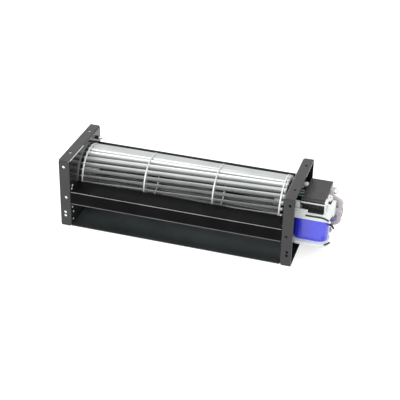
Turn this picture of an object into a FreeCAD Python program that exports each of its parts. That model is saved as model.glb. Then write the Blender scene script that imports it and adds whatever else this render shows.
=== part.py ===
import FreeCAD, Part
import math
import os

# Cross flow fan: a drum of skewed forward-curved blades between two folded end plates, with a
# rolled scroll sheet behind it, a folded tongue sheet in front, and a C-frame motor on one end.
# X runs along the drum towards the motor, Y from the outlet to the back, Z up. The functions work
# from the middle of the casing's underside, and save() then moves each piece so that the origin is
# under the middle of the whole fan, motor included. All sizes are millimetres.

os.makedirs("parts", exist_ok=True)
V = FreeCAD.Vector

# Drum: blades strung through two middle rings and two end discs
blade_count = 26
blade_tip_radius = 32.2
blade_depth = 6.6
blade_curve_radius = 7.1
blade_sheet = 0.5
blade_skew = 16.4
blade_phase = 8.0
blade_overhang_left = 1.8
blade_overhang_right = 4.3
drum_start = 2.9
drum_end_room = 10.8
middle_ring_places = (0.323, 0.671)
ring_rim = 0.9
ring_inner_rim = 1.4
ring_sheet = 1.4
disc_sheet = 1.2
slot_clearance = 0.12
hub_radius = 8.0
hub_length = 11.0

# Casing: two tray-shaped end plates, their flanges turned away from the drum
casing_length = 256.5
inlet_depth = 30.0
inlet_rise = 9.4
back_margin = 0.8
flange_width = 13.2
plate_sheet = 1.2
flange_corner_radius = 1.0
flange_gap = 0.2
plate_bend = 1.8
mount_hole = 3.6
top_hole_front = 21.7
top_hole_back = 18.0
flange_hole_offset = 7.5
side_hole_offset = 5.8
front_hole_drop = 9.0
front_hole_heights = (18.2, 13.4)
side_hole_height = 38.5
pilot_hole = 2.0
pilot_places = ((7.4, 52.2), (5.0, 49.1), (5.0, 24.4), (7.0, 17.1), (5.7, 7.5))

# Scroll sheet: its arc is drawn round a centre in front of and below the drum's axis
duct_sheet = 1.0
scroll_gap = 8.9
scroll_lead = 6.4
scroll_drop = 2.2
scroll_floor = 1.3
scroll_rise = 36.3
hem_run = 12.0
hem_turn = 165.0
hem_bend = 1.0
tab_width = 7.0
tab_reach = 2.4
tab_clearance = 0.1
scroll_tab_angles = (-62.0, -22.0, 30.0)

# Tongue sheet: heights are over the drum's axis, the nose is measured from the rings' front
tongue_front = 1.0
tongue_rise = 1.6
tongue_height = 17.3
nose_overlap = 1.15
nose_rise = 1.0
tongue_nose_radius = 1.6
tongue_bend = 1.5
tongue_return = 12.0
leaf_gap = 0.3

# Shafts and their bearings
shaft_radius = 2.5
running_clearance = 0.03
bearing_outer_radius = 5.0
bearing_length = 8.0
bearing_proud = 0.6
bearing_inset = 1.0
shaft_proud = 1.5
stub_reach = 9.0
mount_ring_radius = 12.5
mount_ring_neck_radius = 10.5
mount_ring_length = 4.6
mount_ring_play = 0.05

# Motor: laminated C-frame, separate core bar, bobbin and coil, all placed from the drum's axis
motor_gap = 13.3
stack_length = 26.0
stack_ahead = 27.6
stack_behind = 22.4
stack_above = 26.0
stack_below = 38.5
stack_corner = 3.0
stack_back_corner = 0.8
lower_arm_corner = 6.0
upper_arm_clear = 12.8
lower_arm_clear = 26.5
window_ahead = 15.5
bore_radius = 12.0
air_gap = 0.35
core_ahead = 32.6
core_depth = 9.0
bobbin_wall = 1.2
bobbin_clearance = 0.15
coil_wall = 6.2
coil_corner = 10.0
coil_above = 7.0
coil_below = 21.0
top_flange_ahead = 41.1
top_flange_sheet = 4.0
bottom_flange_ahead = 45.6
bottom_flange_sheet = 3.2
flange_corner = 3.0
bottom_flange_corner = 8.0
flange_over_coil = 0.6
terminal_tower_width = 11.5
terminal_tower_depth = 9.0
left_cheek_above = 20.5
cheek_ahead = 29.9
cheek_depth = 5.0
window_sill_width = 9.0
sill_height = 1.5
sill_sheet = 1.4
tower_slot_width = 1.2
tower_slot_margin = 3.0
terminal_width = 4.8
terminal_sheet = 0.8
terminal_reach = 7.5
terminal_inset = 2.5
terminal_pitch = 4.0
lead_radius = 1.05
lead_play = 0.05
lead_step = 0.95
screw_angle = 68.0
screw_circle = 23.2
screw_radius = 1.7
screw_hole_clearance = 0.15
screw_head_radius = 3.2
screw_head_height = 2.2
screw_past_nut = 1.2
nut_across = 6.0
nut_height = 2.4
spacer_across = 7.0
bracket_wall = 4.6
bracket_width = 10.0
inner_bracket_rise = 5.6
outer_bracket_rise = 11.7
bracket_bend = 2.8
bracket_flat = 11.5
bracket_foot = 16.5
bracket_end = 4.0
bracket_hub_radius = 6.5
bracket_hub_start = 5.6
bracket_hub_length = 11.0
shading_bar = 1.8
shading_span = 5.5
shading_proud = 1.2
shading_offset = 0.9
shading_angle = 35.0
shading_play = 0.1
bush_radius = 3.4
bush_bore = 1.6
bush_above = 17.5
bush_ahead = 2.2
web_hub_hole = 9.0

# Stud and grommet near the top of the left web
stud_from_back = 12.5
stud_from_top = 10.3
stud_radius = 1.3
stud_reach = 7.5
stud_head_radius = 3.0
stud_head_height = 2.0
grommet_radius = 2.2
grommet_sheet = 2.0

# Places worked out from the sizes above
blade_root_radius = blade_tip_radius - blade_depth
ring_radius = blade_tip_radius + ring_rim
ring_inner_radius = blade_root_radius - ring_inner_rim
scroll_radius = ring_radius + scroll_gap
axis_z = scroll_floor + scroll_radius + scroll_drop
axis_depth = inlet_depth + ring_radius
plate_height = axis_z + ring_radius + inlet_rise
plate_depth = axis_depth - scroll_lead + scroll_radius + duct_sheet / 2 + back_margin
front_y = -plate_depth / 2
axis_y = front_y + axis_depth
scroll_centre_y = axis_y - scroll_lead
tongue_top = axis_z + tongue_rise
tongue_bottom = tongue_top - tongue_height
nose_y = axis_y - ring_radius + nose_overlap
nose_z = tongue_top + nose_rise
web_x = casing_length / 2
web_outer_x = web_x + plate_sheet
left_disc_x = -web_x + drum_start
right_disc_x = web_x - drum_end_room
drum_length = right_disc_x - left_disc_x
stack_x = web_outer_x + motor_gap
stack_end_x = stack_x + stack_length
stack_front = axis_y - stack_ahead
stack_back = axis_y + stack_behind
stack_top = axis_z + stack_above
stack_bottom = axis_z - stack_below
upper_arm_underside = axis_z + upper_arm_clear
lower_arm_topside = axis_z - lower_arm_clear
window_back = axis_y - window_ahead
core_front = axis_y - core_ahead
coil_top = axis_z + coil_above
coil_bottom = axis_z - coil_below
coil_side = stack_end_x + bobbin_clearance + bobbin_wall + coil_wall
coil_front = core_front - bobbin_clearance - bobbin_wall - coil_wall
top_flange_front = axis_y - top_flange_ahead
flange_top = coil_top + top_flange_sheet
cheek_front = axis_y - cheek_ahead
stud_y = plate_depth / 2 - stud_from_back
stud_z = plate_height - stud_from_top
armature_radius = bore_radius - air_gap
middle_x = (stack_end_x + bracket_hub_start + bracket_hub_length - web_x - flange_width) / 2


def box(x0, x1, y0, y1, z0, z1):
    return Part.makeBox(x1 - x0, y1 - y0, z1 - z0, V(x0, y0, z0))


def rod_x(x0, x1, radius, y, z):
    return Part.makeCylinder(radius, x1 - x0, V(x0, y, z), V(1, 0, 0))


def ring_x(x0, x1, radius, bore, y, z):
    return rod_x(x0, x1, radius, y, z).cut(rod_x(x0 - 1, x1 + 1, bore, y, z))


def axis_rod(x0, x1, radius):
    return rod_x(x0, x1, radius, axis_y, axis_z)


def rod_y(y0, y1, radius, x, z):
    return Part.makeCylinder(radius, y1 - y0, V(x, y0, z), V(0, 1, 0))


def rod_z(z0, z1, radius, x, y):
    return Part.makeCylinder(radius, z1 - z0, V(x, y, z0), V(0, 0, 1))


def turned(profile):
    """Solid of revolution about the drum's axis from (x, radius) points."""
    points = [V(x, axis_y, axis_z + radius) for x, radius in profile]
    face = Part.Face(Part.makePolygon(points + points[:1]))
    return face.revolve(V(0, axis_y, axis_z), V(1, 0, 0), 360)


def around_axis(shape, degrees):
    moved = shape.copy()
    moved.rotate(V(0, axis_y, axis_z), V(1, 0, 0), degrees)
    return moved


def on_screw_circle(side):
    """(y, z) of a motor screw, side +1 for the upper one and -1 for the lower one."""
    turn = math.radians(screw_angle)
    return (axis_y + side * screw_circle * math.cos(turn),
            axis_z + side * screw_circle * math.sin(turn))


def rounded_block(x0, x1, y0, y1, z0, z1, radius, direction):
    """Box with the four edges that run along one direction rounded."""
    block = box(x0, x1, y0, y1, z0, z1)
    edges = [e for e in block.Edges
             if abs((e.Vertexes[1].Point - e.Vertexes[0].Point).normalize().dot(direction)) > 0.99]
    return block.makeFillet(radius, edges)


def sheet_strip(points, radii, sheet):
    """Face of a bent strip: a centre line of straight runs joined by tangent bends."""
    corners = [V(0, a, b) for a, b in points]
    sides = ([], [])
    for number in range(len(corners) - 1):
        run = (corners[number + 1] - corners[number]).normalize()
        normal = V(0, -run.z, run.y)
        start = corners[number]
        if number > 0:
            start = start + run * trim(corners, radii, number)
        end = corners[number + 1]
        if number + 2 < len(corners):
            end = end - run * trim(corners, radii, number + 1)
        for side, chain in zip((0.5, -0.5), sides):
            chain.append((start + normal * sheet * side, end + normal * sheet * side))
    edges = []
    for side, chain in zip((0.5, -0.5), sides):
        for number, (start, end) in enumerate(chain):
            if (end - start).Length > 0.001:
                edges.append(Part.makeLine(start, end))
            if number + 1 < len(chain):
                centre = bend_centre(corners, radii, number + 1)
                inward = (corners[number + 1] - centre).normalize()
                reach = (end - centre).Length
                edges.append(Part.Arc(end, centre + inward * reach, chain[number + 1][0]).toShape())
    edges.append(Part.makeLine(sides[0][0][0], sides[1][0][0]))
    edges.append(Part.makeLine(sides[0][-1][1], sides[1][-1][1]))
    return Part.Face(Part.Wire(Part.__sortEdges__(edges)))


def turn_at(corners, number):
    before = (corners[number] - corners[number - 1]).normalize()
    after = (corners[number + 1] - corners[number]).normalize()
    return before.getAngle(after)


def trim(corners, radii, number):
    """Length that a bend takes from the straight run on each side of its corner."""
    return radii[number - 1] * math.tan(turn_at(corners, number) / 2)


def bend_centre(corners, radii, number):
    before = (corners[number - 1] - corners[number]).normalize()
    after = (corners[number + 1] - corners[number]).normalize()
    reach = radii[number - 1] / math.cos(turn_at(corners, number) / 2)
    return corners[number] + (before + after).normalize() * reach


def along_x(face, x0, x1):
    moved = face.copy()
    moved.translate(V(x0, 0, 0))
    return moved.extrude(V(x1 - x0, 0, 0))


# Sheet parts of the casing

def scroll_face():
    """Floor, rolled back and a hem folded outwards along the top edge."""
    turn = math.radians(90 + scroll_rise)
    fold = math.radians(hem_turn)
    corner = V(0, scroll_centre_y + scroll_radius * math.tan(turn / 2), scroll_floor)
    run = V(0, math.cos(turn), math.sin(turn))
    top = corner + run * (scroll_radius * math.tan(turn / 2) + hem_bend * math.tan(fold / 2))
    tip = top + V(0, math.cos(turn - fold), math.sin(turn - fold)) * hem_run
    points = [(front_y, corner.z), (corner.y, corner.z), (top.y, top.z), (tip.y, tip.z)]
    return sheet_strip(points, (scroll_radius, hem_bend), duct_sheet)


def tongue_face():
    """Folded wedge: lower leaf, nose beside the drum, top leaf, front, and a return lip."""
    front = front_y + tongue_front
    lower_end = (front + tongue_return / 2, tongue_bottom + duct_sheet + leaf_gap)
    lip_end = (front + tongue_return, tongue_bottom)
    points = [lower_end, (nose_y, nose_z), (front, tongue_top), (front, tongue_bottom), lip_end]
    return sheet_strip(points, (tongue_nose_radius, tongue_bend, tongue_bend), duct_sheet)


def tab_place(angle):
    """Middle of a tab on the rolled part of the scroll, and its tilt."""
    turn = math.radians(angle)
    centre_z = scroll_floor + scroll_radius
    return (scroll_centre_y + scroll_radius * math.cos(turn), centre_z + scroll_radius * math.sin(turn))


def tab(y, z, tilt, growth):
    """Tab on the right end of a sheet, grown on its sides for the slot that takes it."""
    block = box(web_x, web_outer_x + tab_reach, y - tab_width / 2 - growth, y + tab_width / 2 + growth,
                z - duct_sheet / 2 - growth, z + duct_sheet / 2 + growth)
    block.rotate(V(0, y, z), V(1, 0, 0), tilt)
    return block


def scroll_tabs(growth):
    return [tab(*tab_place(angle), angle + 90, growth) for angle in scroll_tab_angles]


def tongue_tabs(growth):
    """One tab, half way along the top leaf of the tongue."""
    front = front_y + tongue_front
    tilt = math.degrees(math.atan2(nose_rise, nose_y - front))
    return [tab((front + nose_y) / 2, tongue_top + nose_rise / 2, tilt, growth)]


def both_ends(shapes):
    return shapes + [shape.mirror(V(0, 0, 0), V(1, 0, 0)) for shape in shapes]


def scroll_casing():
    return along_x(scroll_face(), -web_x, web_x).fuse(both_ends(scroll_tabs(0))).removeSplitter()


def tongue_plate():
    return along_x(tongue_face(), -web_x, web_x).fuse(both_ends(tongue_tabs(0))).removeSplitter()


def flange(turn, reach, leaf_length, bend_length):
    """One flange with its bend, turned about the plate's middle; reach is out to its outer face."""
    leaf = box(web_x + plate_bend, web_x + flange_width, -reach, -reach + plate_sheet,
               -leaf_length / 2, leaf_length / 2)
    corners = [e for e in leaf.Edges
               if e.BoundBox.XMin > web_x + flange_width - 0.01 and e.BoundBox.ZLength < 0.01]
    leaf = leaf.makeFillet(flange_corner_radius, corners)
    centre = V(web_x + plate_bend, -reach + plate_bend, -bend_length / 2)
    bend = Part.makeCylinder(plate_bend, bend_length, centre, V(0, 0, 1), 90)
    bend = bend.cut(Part.makeCylinder(plate_bend - plate_sheet, bend_length, centre, V(0, 0, 1), 90))
    bend.rotate(centre, V(0, 0, 1), 180)
    solid = leaf.fuse(bend)
    solid.rotate(V(0, 0, 0), V(1, 0, 0), turn)
    solid.translate(V(0, 0, plate_height / 2))
    return solid


def pilot(depth, height):
    half = pilot_hole / 2
    return box(web_x - 1, web_outer_x + 1, front_y + depth - half, front_y + depth + half,
               height - half, height + half)


def folded_plate():
    """End plate of the motor side, without the holes that only one side has."""
    long_bend = plate_depth - 2 * plate_bend
    short_bend = plate_height - 2 * plate_bend
    short_leaf = plate_height - 2 * (plate_sheet + flange_gap)
    web = box(web_x, web_outer_x, -long_bend / 2, long_bend / 2, plate_bend, plate_height - plate_bend)
    flanges = [flange(0, plate_depth / 2, short_leaf, short_bend),
               flange(180, plate_depth / 2, short_leaf, short_bend),
               flange(90, plate_height / 2, plate_depth, long_bend),
               flange(270, plate_height / 2, plate_depth, long_bend)]
    plate = web.fuse(flanges).removeSplitter()
    radius = mount_hole / 2
    offset_x = web_x + flange_hole_offset
    front_holes = [(offset_x, height) for height in front_hole_heights]
    front_holes.append((offset_x, plate_height - front_hole_drop))
    front_holes.append((web_x + side_hole_offset, side_hole_height))
    cuts = [rod_y(front_y - 1, front_y + plate_sheet + 1, radius, x, z) for x, z in front_holes]
    for y in (front_y + top_hole_front, plate_depth / 2 - top_hole_back):
        cuts.append(rod_z(plate_height - plate_sheet - 1, plate_height + 1, radius, offset_x, y))
    cuts = cuts + [pilot(depth, height) for depth, height in pilot_places]
    return plate.cut(cuts + scroll_tabs(tab_clearance) + tongue_tabs(tab_clearance))


def right_end_plate():
    holes = [axis_rod(web_x - 1, web_outer_x + 1, web_hub_hole)]
    for side in (1, -1):
        y, z = on_screw_circle(side)
        holes.append(rod_x(web_x - 1, web_outer_x + 1, screw_radius + screw_hole_clearance, y, z))
    return folded_plate().cut(holes)


def left_end_plate():
    plate = folded_plate().mirror(V(0, 0, 0), V(1, 0, 0))
    seat = axis_rod(-web_outer_x - 1, -web_x + 1, mount_ring_neck_radius)
    stud_hole = rod_x(-web_outer_x - 1, -web_x + 1, stud_radius + screw_hole_clearance, stud_y, stud_z)
    return plate.cut([seat, stud_hole])


# Drum

def blade_outline(x, growth):
    """Closed outline of a blade's section in the plane x: its curve is pressed in two flats."""
    sweep = math.asin((blade_tip_radius - blade_root_radius) / blade_curve_radius)
    half = blade_sheet / 2 + growth
    extra = growth / blade_curve_radius
    points = []
    for reach, order in ((blade_curve_radius + half, (0, 1, 2)),
                         (blade_curve_radius - half, (2, 1, 0))):
        for share in order:
            turn = -extra + (sweep + 2 * extra) * share / 2
            points.append(V(x, axis_y - blade_root_radius - reach * math.sin(turn),
                            axis_z + blade_curve_radius - reach * math.cos(turn)))
    outline = Part.makePolygon(points + points[:1])
    turn = blade_phase + blade_skew * (x - left_disc_x) / drum_length
    return around_axis(outline, -turn)


def ring_stations():
    return [left_disc_x + share * drum_length for share in middle_ring_places]


def blade(number):
    """Skewed strip lofted through its sections at both ends and at the middle rings."""
    stations = [left_disc_x - blade_overhang_left] + ring_stations()
    stations.append(right_disc_x + blade_overhang_right)
    solid = Part.makeLoft([blade_outline(x, 0) for x in stations], True, True)
    return around_axis(solid, -360.0 * number / blade_count)


def slots(x, sheet):
    cutter = Part.Face(blade_outline(x, slot_clearance))
    cutter.translate(V(-sheet, 0, 0))
    cutter = cutter.extrude(V(2 * sheet, 0, 0))
    return [around_axis(cutter, -360.0 * number / blade_count) for number in range(blade_count)]


def middle_ring(x):
    ring = ring_x(x - ring_sheet / 2, x + ring_sheet / 2, ring_radius, ring_inner_radius, axis_y, axis_z)
    return ring.cut(slots(x, ring_sheet))


def end_disc(x):
    disc = ring_x(x - disc_sheet / 2, x + disc_sheet / 2, ring_radius, shaft_radius, axis_y, axis_z)
    return disc.cut(slots(x, disc_sheet))


def hub(disc_x, side):
    """Hub on the inner face of an end disc; side +1 points it along X."""
    face = disc_x + side * disc_sheet / 2
    return ring_x(min(face, face + side * hub_length), max(face, face + side * hub_length), hub_radius,
                  shaft_radius, axis_y, axis_z)


def left_stub_shaft():
    end = left_disc_x + disc_sheet / 2 + hub_length
    return axis_rod(-web_outer_x - stub_reach, end, shaft_radius)


# Left bearing: a sintered bush in a rubber ring that snaps into the web

def left_bearing_x():
    return -web_x + bearing_proud - bearing_length


def bearing(start):
    return ring_x(start, start + bearing_length, bearing_outer_radius, shaft_radius + running_clearance,
                  axis_y, axis_z)


def left_mount_ring():
    """Rubber ring: a neck through the web and a collar on the outside of it."""
    neck = mount_ring_neck_radius - mount_ring_play
    end = -web_outer_x - mount_ring_length
    return turned([(-web_x, bearing_outer_radius), (-web_x, neck), (-web_outer_x, neck),
                   (-web_outer_x, mount_ring_radius), (end, mount_ring_radius),
                   (end, bearing_outer_radius)])


# Motor iron

def corner_edges(block, y, z):
    return [e for e in block.Edges if abs(e.CenterOfMass.y - y) < 0.01 and abs(e.CenterOfMass.z - z) < 0.01]


def stator_stack():
    """Laminated frame: two arms that grip the core bar, and the bored pole block behind them."""
    stack = box(stack_x, stack_end_x, stack_front, stack_back, stack_bottom, stack_top)
    for y, z, radius in ((stack_front, stack_top, stack_corner),
                         (stack_back, stack_top, stack_back_corner),
                         (stack_back, stack_bottom, stack_back_corner),
                         (stack_front, stack_bottom, lower_arm_corner)):
        stack = stack.makeFillet(radius, corner_edges(stack, y, z))
    window = box(stack_x - 1, stack_end_x + 1, stack_front - 1, window_back, lower_arm_topside,
                 upper_arm_underside)
    cuts = [window, axis_rod(stack_x - 1, stack_end_x + 1, bore_radius)]
    for side in (1, -1):
        y, z = on_screw_circle(side)
        cuts.append(rod_x(stack_x - 1, stack_end_x + 1, screw_radius + screw_hole_clearance, y, z))
        cuts.append(shading_bars(side, shading_play, stack_x - 1, stack_end_x + 1))
    return stack.cut(cuts)


def shading_bars(side, growth, x0, x1):
    """The two bars of a shading ring that pass through the pole, beside the bore."""
    bars = []
    inner = bore_radius + shading_offset
    for reach in (inner, inner + shading_span):
        bar = box(x0, x1, axis_y - shading_bar / 2 - growth, axis_y + shading_bar / 2 + growth,
                  axis_z + reach - growth, axis_z + reach + shading_bar + growth)
        bars.append(around_axis(bar, shading_angle + (0 if side > 0 else 180)))
    return bars[0].fuse(bars[1])


def shading_ring(side):
    low = stack_x - shading_proud
    high = stack_end_x + shading_proud
    legs = shading_bars(side, 0, low, high)
    ends = []
    inner = axis_z + bore_radius + shading_offset
    for x0, x1 in ((low, stack_x - shading_play), (stack_end_x + shading_play, high)):
        end = box(x0, x1, axis_y - shading_bar / 2, axis_y + shading_bar / 2, inner,
                  inner + shading_span + shading_bar)
        ends.append(around_axis(end, shading_angle + (0 if side > 0 else 180)))
    return legs.fuse(ends).removeSplitter()


def core_bar():
    return box(stack_x, stack_end_x, core_front, core_front + core_depth, lower_arm_topside,
               upper_arm_underside)


# Bobbin, coil and terminals

def block_round_core(wall, z0, z1):
    return box(stack_x - wall, stack_end_x + wall, core_front - wall, core_front + core_depth + wall,
               z0, z1)


def core_hole():
    return block_round_core(bobbin_clearance, 0, plate_height)


def coil():
    wall = bobbin_clearance + bobbin_wall
    winding = block_round_core(wall + coil_wall, coil_bottom, coil_top)
    corners = [e for e in winding.Edges if e.BoundBox.ZLength > coil_top - coil_bottom - 0.01]
    return winding.makeFillet(coil_corner, corners).cut(
        block_round_core(wall, coil_bottom - 1, coil_top + 1))


def bobbin():
    """Tube round the core with a flange at each end, and the cheeks beside the upper arm."""
    wall = bobbin_clearance + bobbin_wall
    reach = wall + coil_wall + flange_over_coil
    x0 = stack_x - reach
    x1 = stack_end_x + reach
    back = core_front + core_depth + wall + coil_wall
    tube = block_round_core(wall, coil_bottom - 1, coil_top + 1)
    upper = rounded_block(x0, x1, top_flange_front, back, coil_top, flange_top, flange_corner, V(0, 0, 1))
    lower = rounded_block(x0, x1, axis_y - bottom_flange_ahead, back, coil_bottom - bottom_flange_sheet,
                          coil_bottom, bottom_flange_corner, V(0, 0, 1))
    gap = bobbin_clearance
    tower = box(stack_end_x + gap, stack_end_x + gap + terminal_tower_width, cheek_front,
                cheek_front + terminal_tower_depth, flange_top - 1, stack_top)
    cheek = box(x0, stack_x - gap, cheek_front, cheek_front + cheek_depth, flange_top - 1,
                axis_z + left_cheek_above)
    arm_front = stack_front - gap
    sill_y = core_front - gap
    sill = box(x0 + 1, stack_end_x + gap + 1, sill_y - sill_sheet, sill_y, flange_top - 1,
               flange_top + sill_height)
    step = box(x0 + 1, stack_x + window_sill_width, sill_y - sill_sheet, sill_y, flange_top - 1,
               flange_top + 3 * sill_height)
    slot_x = stack_end_x + gap + terminal_tower_width / 4
    slot = box(slot_x - tower_slot_width / 2, slot_x + tower_slot_width / 2, cheek_front - 1,
               cheek_front + tower_slot_margin, flange_top + tower_slot_margin,
               stack_top - tower_slot_margin)
    body = tube.fuse([upper, lower, tower, cheek, sill, step])
    side_room = box(stack_x - gap, stack_end_x + gap, arm_front, window_back, flange_top,
                    upper_arm_underside)
    return body.cut([core_hole(), slot, side_room]).removeSplitter()


def terminal(number):
    """Flat tab on the tower, number 0 in front and 1 behind."""
    middle = stack_end_x + bobbin_clearance + terminal_tower_width / 2
    y = cheek_front + terminal_inset + terminal_pitch * number
    return box(middle - terminal_width / 2, middle + terminal_width / 2, y - terminal_sheet / 2,
               y + terminal_sheet / 2, stack_top, stack_top + terminal_reach)


def wire_through(points, radius):
    """Short stiff lead: a six-sided wire along straight runs with mitred turns."""
    corners = [V(*point) for point in points]
    run = (corners[1] - corners[0]).normalize()
    across = run.cross(V(0, 0.3, 1)).normalize()
    rim = []
    for number in range(7):
        spoke = FreeCAD.Rotation(run, 60.0 * number).multVec(across)
        rim.append(corners[0] + spoke * radius)
    path = Part.makePolygon(corners)
    return path.makePipeShell([Part.makePolygon(rim)], True, False, 1)


def upper_lead():
    """Lead along the top front edge of the upper flange, down past its corner and into the coil's side."""
    reach = lead_radius + lead_play
    y = top_flange_front
    z = flange_top
    step = lead_step * lead_radius
    return wire_through([(stack_x + 7 * step, y + reach, z + reach),
                         (coil_side - 10 * step, y + reach, z + reach),
                         (coil_side - 7 * step, y - reach, z + reach),
                         (coil_side, y - reach, z - 3.5 * step),
                         (coil_side + 3.8 * step, y, z - 9 * step),
                         (coil_side + 3.4 * step, y + 6 * step, z - 12 * step),
                         (coil_side + 2.2 * step, y + 12 * step, z - 13 * step),
                         (coil_side + lead_play, y + 12 * step, z - 13 * step)], lead_radius)


def lower_lead():
    """Lead from the lower flange, round above its front corner and back into the coil's side."""
    step = lead_step * lead_radius
    z = coil_bottom + 2 * step
    centre_x = coil_side + flange_over_coil - bottom_flange_corner
    centre_y = axis_y - bottom_flange_ahead + bottom_flange_corner
    radius = bottom_flange_corner - lead_radius
    points = []
    for turn in (-70.0, -45.0, -20.0):
        angle = math.radians(turn)
        points.append((centre_x + radius * math.cos(angle), centre_y + radius * math.sin(angle), z))
    foot = (points[0][0], points[0][1], coil_bottom + lead_play)
    side = coil_side + 1.3 * step
    points = points + [(side, coil_front + 7 * step, z), (side, coil_front + 12 * step, z),
                       (coil_side + lead_play, coil_front + 12 * step, z)]
    return wire_through([foot] + points, lead_radius)


# Shaft, armature, brackets, screws

def motor_shaft():
    start = right_disc_x - disc_sheet / 2 - hub_length
    return axis_rod(start, outer_bearing_x() + bearing_length + shaft_proud, shaft_radius)


def armature():
    """Squirrel cage rotor on the motor shaft."""
    return ring_x(stack_x, stack_end_x, armature_radius, shaft_radius, axis_y, axis_z)


def bracket(side):
    """Cast bridge across the bore, its hub pointing away from the stack; side +1 is the outer one."""
    rise = outer_bracket_rise if side > 0 else inner_bracket_rise
    level = bracket_wall / 2
    reach = screw_circle + bracket_end
    points = [(-reach, level), (-bracket_foot, level), (-bracket_flat, level + rise),
              (bracket_flat, level + rise), (bracket_foot, level), (reach, level)]
    radii = (bracket_bend,) * 4
    strip = sheet_strip(points, radii, bracket_wall)
    solid = along_x(strip, -bracket_width / 2, bracket_width / 2)
    ends = [e for e in solid.Edges
            if abs(abs(e.CenterOfMass.y) - reach) < 0.01 and e.Length < bracket_wall + 0.01
            and abs(abs(e.CenterOfMass.x) - bracket_width / 2) < 0.01]
    solid = solid.makeChamfer(bracket_width / 4, ends)
    hub_end = bracket_hub_start + bracket_hub_length
    solid = solid.fuse(rod_z(bracket_hub_start, hub_end, bracket_hub_radius, 0, 0))
    bore = rod_z(-1, hub_end + 1, bearing_outer_radius, 0, 0)
    holes = [rod_z(-1, bracket_wall + 1, screw_radius + screw_hole_clearance, 0, place)
             for place in (screw_circle, -screw_circle)]
    solid = solid.cut([bore] + holes).removeSplitter()
    solid.rotate(V(0, 0, 0), V(0, 1, 0), 90)
    solid.rotate(V(0, 0, 0), V(1, 0, 0), screw_angle)
    if side < 0:
        solid = solid.mirror(V(0, 0, 0), V(1, 0, 0))
    solid.translate(V(stack_end_x if side > 0 else stack_x, axis_y, axis_z))
    return solid


def outer_bearing_x():
    return stack_end_x + bracket_hub_start + bearing_inset


def inner_bearing_x():
    return stack_x - bracket_hub_start - bearing_inset - bearing_length


def motor_screw(side):
    """Through screw with its pan head inside the casing and its nut end past the outer bracket."""
    y, z = on_screw_circle(side)
    shank = rod_x(web_x, stack_end_x + bracket_wall + nut_height + screw_past_nut, screw_radius, y, z)
    head = rod_x(web_x - screw_head_height, web_x, screw_head_radius, y, z)
    return head.fuse(shank).removeSplitter()


def hexagon(start, end, across, side, bore):
    """Six-sided bar along X round a motor screw."""
    y, z = on_screw_circle(side)
    corner = across / math.sqrt(3)
    turns = [math.radians(60 * number) for number in range(7)]
    points = [V(start, y + corner * math.cos(turn), z + corner * math.sin(turn)) for turn in turns]
    bar = Part.Face(Part.makePolygon(points)).extrude(V(end - start, 0, 0))
    return bar.cut(rod_x(start - 1, end + 1, bore, y, z))


def motor_nut(side):
    start = stack_end_x + bracket_wall
    return hexagon(start, start + nut_height, nut_across, side, screw_radius)


def motor_spacer(side):
    bore = screw_radius + screw_hole_clearance
    return hexagon(web_outer_x, stack_x - bracket_wall, spacer_across, side, bore)


def damping_bush():
    return ring_x(web_outer_x, stack_x, bush_radius, bush_bore, axis_y - bush_ahead,
                  axis_z + bush_above)


# Stud and grommet on the left web

def web_stud():
    shank = rod_x(-web_outer_x, -web_x + stud_reach, stud_radius, stud_y, stud_z)
    head = rod_x(-web_outer_x - stud_head_height, -web_outer_x, stud_head_radius, stud_y, stud_z)
    return shank.fuse(head).removeSplitter()


def stud_grommet():
    return ring_x(-web_x, -web_x + grommet_sheet, grommet_radius, stud_radius, stud_y, stud_z)


def save(name, shape):
    """Write one piece, moved from the middle of the casing to the middle of the whole fan."""
    placed = shape.copy()
    placed.translate(V(-middle_x, 0, 0))
    placed.exportStep("parts/" + name + ".step")


save("right_end_plate", right_end_plate())
save("left_end_plate", left_end_plate())
save("scroll_casing", scroll_casing())
save("tongue_plate", tongue_plate())
save("web_stud", web_stud())
save("stud_grommet", stud_grommet())

for number in range(blade_count):
    save("blade_%02d" % (number + 1), blade(number))
for number, x in enumerate(ring_stations()):
    save("middle_ring_%d" % (number + 1), middle_ring(x))
drum_ends = (("left", left_disc_x, 1), ("right", right_disc_x, -1))
for name, x, side in drum_ends:
    save(name + "_end_disc", end_disc(x))
    save(name + "_hub", hub(x, side))
save("left_stub_shaft", left_stub_shaft())
save("left_mount_ring", left_mount_ring())

save("stator_stack", stator_stack())
save("core_bar", core_bar())
save("bobbin", bobbin())
save("coil", coil())
save("coil_leads", Part.makeCompound([upper_lead(), lower_lead()]))
save("motor_shaft", motor_shaft())
save("armature", armature())
save("damping_bush", damping_bush())
save("outer_bracket", bracket(1))
save("inner_bracket", bracket(-1))
for name, start in (("left", left_bearing_x()), ("inner", inner_bearing_x()), ("outer", outer_bearing_x())):
    save(name + "_bearing", bearing(start))
save("terminals", Part.makeCompound([terminal(number) for number in range(2)]))
save("upper_shading_ring", shading_ring(1))
save("lower_shading_ring", shading_ring(-1))
save("motor_screws", Part.makeCompound([motor_screw(side) for side in (1, -1)]))
save("motor_nuts", Part.makeCompound([motor_nut(side) for side in (1, -1)]))
save("motor_spacers", Part.makeCompound([motor_spacer(side) for side in (1, -1)]))
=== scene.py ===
import math

import bmesh
import bpy
from mathutils import Matrix, Vector

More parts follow.
